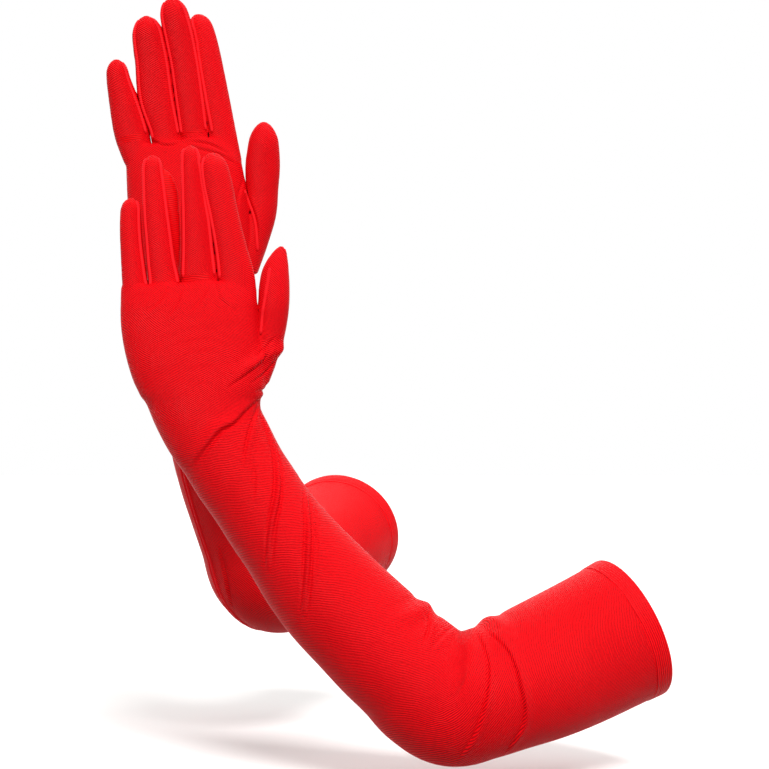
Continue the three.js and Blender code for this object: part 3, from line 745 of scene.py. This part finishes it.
def makePiece(name, points, normals, grain, faces, slot, thickness):
    used = np.unique(np.concatenate([np.asarray(f) for f in faces]))
    back = {int(v): i for i, v in enumerate(used)}
    outer = [tuple(back[i] for i in f) for f in faces]
    p, n, g = points[used], normals[used], grain[used]
    count = len(used)
    allFaces = list(outer)
    allPoints, allNormals, allGrain = p, n, g
    if thickness:
        allFaces += [tuple(i + count for i in f[::-1]) for f in outer]
        edges = {}
        for f in outer:
            for a, b in zip(f, f[1:] + f[:1]):
                edges[(a, b)] = edges.get((a, b), 0) + 1
        allFaces += [(b, a, a + count, b + count) for a, b in edges if (b, a) not in edges]
        allPoints = np.vstack((p, p - n * thickness))
        allNormals = np.vstack((n, -n))
        allGrain = np.vstack((g, g))
    mesh = meshFrom(toRow(allPoints), allFaces, name)
    attribute = mesh.attributes.new("clothGrain", "FLOAT_VECTOR", "POINT")
    attribute.data.foreach_set("vector", allGrain[:, :3].astype(np.float32).ravel())
    attribute = mesh.attributes.new("stitching", "FLOAT", "POINT")
    attribute.data.foreach_set("value", allGrain[:, 3].astype(np.float32).ravel())
    mesh.polygons.foreach_set("use_smooth", np.ones(len(mesh.polygons), bool))
    mesh.normals_split_custom_set_from_vertices([tuple(v) for v in allNormals])
    piece = bpy.data.objects.new(name, mesh)
    bpy.context.scene.collection.objects.link(piece)
    mesh.materials.append(materials[slot])
    return piece


def refine(mesh, lines, reach):
    # halves the cells that lie near the folds and seams
    places = [hit for found in lines for hit, _ in found]
    tree = KDTree(len(places))
    for i, place in enumerate(places):
        tree.insert(place, i)
    tree.balance()
    work = bmesh.new()
    work.from_mesh(mesh)
    near = {v.index for v in work.verts if (tree.find(v.co)[2] or 0) < reach}
    edges = [e for e in work.edges if e.verts[0].index in near and e.verts[1].index in near]
    bmesh.ops.subdivide_edges(work, edges=edges, cuts=1, smooth=0, use_grid_fill=True)
    work.to_mesh(mesh)
    work.free()
    mesh.update()


def evenOut(values, mesh, passes):
    # blends each point's values with its neighbours', so that they run on without jumps
    count = len(mesh.vertices)
    ends = np.zeros(len(mesh.edges) * 2, np.int32)
    mesh.edges.foreach_get("vertices", ends)
    a, b = ends.reshape(-1, 2).T
    around = np.bincount(a, minlength=count) + np.bincount(b, minlength=count)
    for _ in range(passes):
        total = np.column_stack([
            np.bincount(a, values[b, c], count) + np.bincount(b, values[a, c], count) for c in range(3)
        ])
        values = values / 2 + total / np.maximum(around, 1)[:, None] / 2
    return values


def crotchOf(digit):
    # mm along a digit where it parts from its neighbours
    return float(np.interp(digit["crotch"], digit["centre"][:, 2], digit["s"]))


def pointAt(limb, s):
    return np.array([np.interp(s, limb["s"], limb["centre"][:, k]) for k in range(3)])


def shapeCloth(glove, sleeve, digits):
    # the whole outer surface with its folds pressed in, and the lines of its seams
    mesh = buildShell(glove, sleeve, digits)
    points = vertexPoints(mesh) + vertexNormals(mesh) * cloth["swell"]
    mesh.vertices.foreach_set("co", points.astype(np.float32).ravel())
    mesh.update()
    tree = treeOf(points, facesOf(mesh))
    lines = [onFront(tree, fold[0]) for fold in folds[glove]]
    lines += [onLimb(tree, sleeve, fold[0]) for fold in windings[glove]]
    lines += [onLimb(tree, sleeve, line) for line in sideSeam[glove]]
    for name in digitOrder:
        lines += fingerSeams(tree, digits[name], glove, name)
    refine(mesh, lines, cloth["fineReach"])
    points, normals, faces = vertexPoints(mesh), vertexNormals(mesh), facesOf(mesh)
    tree = treeOf(points, faces)
    for line, *fold in folds[glove]:
        pressFold(points, normals, onFront(tree, line), *fold)
    for line, *fold in windings[glove]:
        pressFold(points, normals, onLimb(tree, sleeve, line), *fold)
    tree = treeOf(points, faces)
    seams = [onLimb(tree, sleeve, line) for line in sideSeam[glove]]
    seams += [onFront(tree, line) for line in drawnSeams[glove]]
    for name in digitOrder:
        seams += fingerSeams(tree, digits[name], glove, name)
    for found in seams:
        pressGroove(points, normals, found, seam["groove"], seam["depth"])
    mesh.vertices.foreach_set("co", points.astype(np.float32).ravel())
    mesh.update()
    return mesh, points, vertexNormals(mesh), faces, seams


def addStitches(points, normals, faces, tree, seams):
    # threads join the surface's arrays, so that they bend with it
    allPoints, allNormals, allFaces = [points], [normals], list(faces)
    base = len(points)
    for found in seams:
        landed = [tree.find_nearest(hit)[:2] for hit, _ in found]
        made = tube(landed, seam["radius"], seam["lift"], seam["bead"])
        if made is None:
            continue
        threadPoints, threadFaces = made
        threadMesh = meshFrom(threadPoints, threadFaces, "thread")
        allPoints.append(threadPoints)
        allNormals.append(vertexNormals(threadMesh))
        bpy.data.meshes.remove(threadMesh)
        allFaces += [tuple(i + base for i in f) for f in threadFaces]
        base += len(threadPoints)
    return np.vstack(allPoints), np.vstack(allNormals), allFaces


grainBlend = {
    "before": 12, "over": 14,  # a digit's own run of the cloth sets in round its crotch
    "edge": 1.4, "edgeWidth": 0.4,  # and out to this many half widths
    "passes": 40,
}


def clothPlaces(points, mesh, sleeve, digits):
    # where each point lies on the cloth, in mm (along, side, front), and whether it is a stitch
    index, _ = nearest(points, sleeve)
    grain = limbPlace(points, sleeve, index)
    for digit in digits.values():
        k, _ = nearest(points, digit)
        place = limbPlace(points, digit, k)
        start = crotchOf(digit)
        edge, width = grainBlend["edge"], grainBlend["edgeWidth"]
        inside = np.clip(edge - np.abs(place[:, 1]) / (digit["width"][k] / 2 + 1), 0, width) / width
        share = np.clip((place[:, 0] - start + grainBlend["before"]) / grainBlend["over"], 0, 1) * inside
        base = pointAt(digit, start)[None, :]
        baseIndex, _ = nearest(base, sleeve)
        place += limbPlace(base, sleeve, baseIndex)[0] - np.array((start, 0, 0))
        share = (share * share * (3 - 2 * share))[:, None]
        grain = grain * (1 - share) + place * share
    count = len(mesh.vertices)
    grain[:count] = evenOut(grain[:count], mesh, grainBlend["passes"])
    return np.column_stack((grain, np.arange(len(points)) >= count))


belong = {
    "back": 1.5,  # a digit's faces start this far before its crotch
    "beforeTip": 4,  # its strips end this far before its tip
    "reach": {"thumb": 1.9, "finger": 2.6},  # how far out they may lie, in half widths
    "leastHalf": 5, "sideRoom": 1, "frontRoom": 2, "frontShare": 0.6, "unowned": 9.0,
}


def shareOut(middle, faceUp, isStitch, digits):
    # the digit that each face belongs to (-1 for none), and each face's place on every digit
    owner = np.full(len(middle), -1)
    closest = np.full(len(middle), belong["unowned"])
    places = {}
    for number, name in enumerate((*digitOrder, "thumb")):
        digit = digits[name]
        k, _ = nearest(middle, digit)
        place = places[name] = limbPlace(middle, digit, k)
        halfWidth, halfDepth = (np.maximum(digit[key][k] / 2, belong["leastHalf"]) for key in ("width", "depth"))
        across = np.abs(place[:, 1]) / (halfWidth + belong["sideRoom"])
        depthwise = np.abs(place[:, 2]) / (halfDepth + belong["frontRoom"])
        score = np.maximum(across, depthwise * belong["frontShare"])
        limit = belong["reach"]["thumb" if name == "thumb" else "finger"]
        outward = np.einsum("ij,ij->i", middle - digit["centre"][k], faceUp) > 0  # not a neighbour's facing side
        fits = (place[:, 0] > crotchOf(digit) - belong["back"]) & (score < np.minimum(closest, limit))
        fits &= outward | isStitch
        owner[fits] = number
        closest[fits] = score[fits]
    return owner, places


def buildGlove(glove):
    sleeve, digits = buildLimbs(glove)
    mesh, points, normals, faces, seams = shapeCloth(glove, sleeve, digits)
    tree = treeOf(points, faces)
    print(glove, "surface", len(points), "points,", len(seams), "seams")
    points, normals, allFaces = addStitches(points, normals, faces, tree, seams)
    grain = clothPlaces(points, mesh, sleeve, digits)

    middle = np.array([points[list(f)].mean(0) for f in allFaces])
    faceUp = np.array([normals[list(f)].mean(0) for f in allFaces])
    isStitch = np.arange(len(allFaces)) >= len(faces)
    owner, places = shareOut(middle, faceUp, isStitch, digits)
    at = {}
    for key in ("elbow", "wrist"):
        place = jointPoint(glove + "_" + key) - layoutOrigin
        at[key] = float(sleeve["s"][np.linalg.norm(sleeve["centre"] - place, axis=1).argmin()])
    middleOfForearm = (at["elbow"] + at["wrist"]) / 2
    middleIndex, _ = nearest(middle, sleeve)
    isSleeve = (owner < 0) & (sleeve["s"][middleIndex] < middleOfForearm)
    isHand = (owner < 0) & ~isSleeve

    def named(*parts):
        return [n for n in (glove + "_" + part for part in parts) if n in frame["nodes"]]

    def cut(name, mask, slot):
        picked = [allFaces[i] for i in np.where(mask)[0]]
        return makePiece(glove + name, points, normals, grain, picked, slot, cloth["thickness"])

    upper = cut("Sleeve", isSleeve, "satin")
    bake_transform(upper)
    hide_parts(*named("upper_sleeve_outer", "upper_sleeve_inner", "elbow_sleeve",
                              "forearm_sleeve_outer", "forearm_sleeve_inner"))
    hand = cut("Hand", isHand, "satin")
    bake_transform(hand)
    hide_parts(*named("wrist_sleeve", "hand_back", "hand_palm"))

    for number, name in enumerate((*digitOrder, "thumb")):
        digit, place = digits[name], places[name]
        mask = owner == number
        start = crotchOf(digit)
        strip = np.zeros(len(allFaces), bool)
        for side in neighbours.get(name, ()):
            sign = 1 if side == "thumbward" else -1
            angle = np.degrees(np.arctan2(np.abs(place[:, 2]), place[:, 1] * sign))
            widest = np.where(place[:, 2] > 0, seamAngle(glove, name, side), seam["sideAngle"])
            within = (place[:, 0] > start - belong["back"]) & (place[:, 0] < digit["s"][-1] - belong["beforeTip"])
            here = mask & (angle < widest) & within & ~strip
            strip |= here
            if here.any():
                gusset = cut(name.capitalize() + "Gusset" + side.capitalize(), here, "gusset_satin")
                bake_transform(gusset)
                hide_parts(*named(name + "_fourchette_" + side))
        finger = cut(name.capitalize(), mask & ~strip, "satin")
        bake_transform(finger)
        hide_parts(*(named("thumb") if name == "thumb" else named(name + "_back", name + "_palm")))

    hemPoints, hemFaces = makeHem(tree, sleeve)
    hemMesh = meshFrom(hemPoints, hemFaces, "hem")
    hemNormals = vertexNormals(hemMesh)
    bpy.data.meshes.remove(hemMesh)
    hemIndex, _ = nearest(hemPoints, sleeve)
    hemGrain = np.column_stack((limbPlace(hemPoints, sleeve, hemIndex), np.zeros(len(hemPoints))))
    hem = makePiece(glove + "Hem", hemPoints, hemNormals, hemGrain, hemFaces, "hem_satin", 0)
    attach(hem, "upper_sleeves")
    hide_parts(*named("cuff_hem"))


studio = {
    "lens": 105.35, "sensor": 36, "distance": 1.5,
    "floorGap": 0.012, "floorReach": 5.0, "paper": "#F6F5F3", "paperRough": 0.9,
    "skyBelow": 0.22, "skyAbove": 0.86,
    # direction the light comes from, spread in degrees, strength
    "lights": {
        "key": ((0.25, -1.0, 0.95), 18, 2.65), "top": ((0.2, 0.8, 1.5), 50, 0.55),
        "back": ((-0.4, 1.5, 0.5), 60, 0.7),
    },
}


def setStage():
    centre = toRow((0, 0, 0))
    camera = bpy.data.objects.new("camera", bpy.data.cameras.new("camera"))
    camera.data.lens = studio["lens"]
    camera.data.sensor_width = studio["sensor"]
    camera.location = centre + np.array((0, -studio["distance"], 0))
    camera.rotation_euler = (math.radians(90), 0, 0)
    bpy.context.scene.collection.objects.link(camera)
    bpy.context.scene.camera = camera

    reach, height = studio["floorReach"], cadBox[0][2] - studio["floorGap"]
    corners = [(x * reach, y * reach, height) for x, y in ((-1, -1), (1, -1), (1, 1), (-1, 1))]
    mesh = meshFrom(corners, [(0, 1, 2, 3)], "floor")
    floor = bpy.data.objects.new("floor", mesh)
    bpy.context.scene.collection.objects.link(floor)
    paper = bpy.data.materials.new("paper")
    paper.use_nodes = True
    shader = paper.node_tree.nodes["Principled BSDF"]
    shader.inputs["Base Color"].default_value = linear(studio["paper"])
    shader.inputs["Roughness"].default_value = studio["paperRough"]
    mesh.materials.append(paper)
    floor.visible_diffuse = False  # no glare from below

    world = bpy.data.worlds.new("studio")
    world.use_nodes = True
    tree = world.node_tree
    tree.nodes.clear()
    seen = addNode(tree, "ShaderNodeBackground", {}, {"Color": (1, 1, 1, 1), "Strength": 1.0})
    way = addNode(tree, "ShaderNodeTexCoord")
    rise = addNode(tree, "ShaderNodeSeparateXYZ", links={0: way.outputs["Generated"]})
    fall = addNode(tree, "ShaderNodeMapRange", {},
                   {1: -1.0, 2: 1.0, 3: studio["skyBelow"], 4: studio["skyAbove"]}, {0: rise.outputs["Z"]})
    around = addNode(tree, "ShaderNodeBackground", {}, {"Color": (1, 1, 1, 1)}, {"Strength": fall.outputs[0]})
    rays = addNode(tree, "ShaderNodeLightPath")
    either = addNode(tree, "ShaderNodeMixShader", links={
        0: rays.outputs["Is Camera Ray"], 1: around.outputs[0], 2: seen.outputs[0],
    })
    addNode(tree, "ShaderNodeOutputWorld", links={"Surface": either.outputs[0]})
    bpy.context.scene.world = world
    bpy.context.scene.view_settings.view_transform = "Standard"  # keeps the red as strong as the dye
    for name, (place, spread, strength) in studio["lights"].items():
        light = bpy.data.objects.new(name, bpy.data.lights.new(name, "SUN"))
        light.data.angle = math.radians(spread)
        light.data.energy = strength
        light.location = centre + np.array(place)
        light.rotation_euler = Vector(-np.array(place)).to_track_quat("-Z", "Y").to_euler()
        bpy.context.scene.collection.objects.link(light)


setStage()
for glove in gloves:
    buildGlove(glove)
print("gloves made")
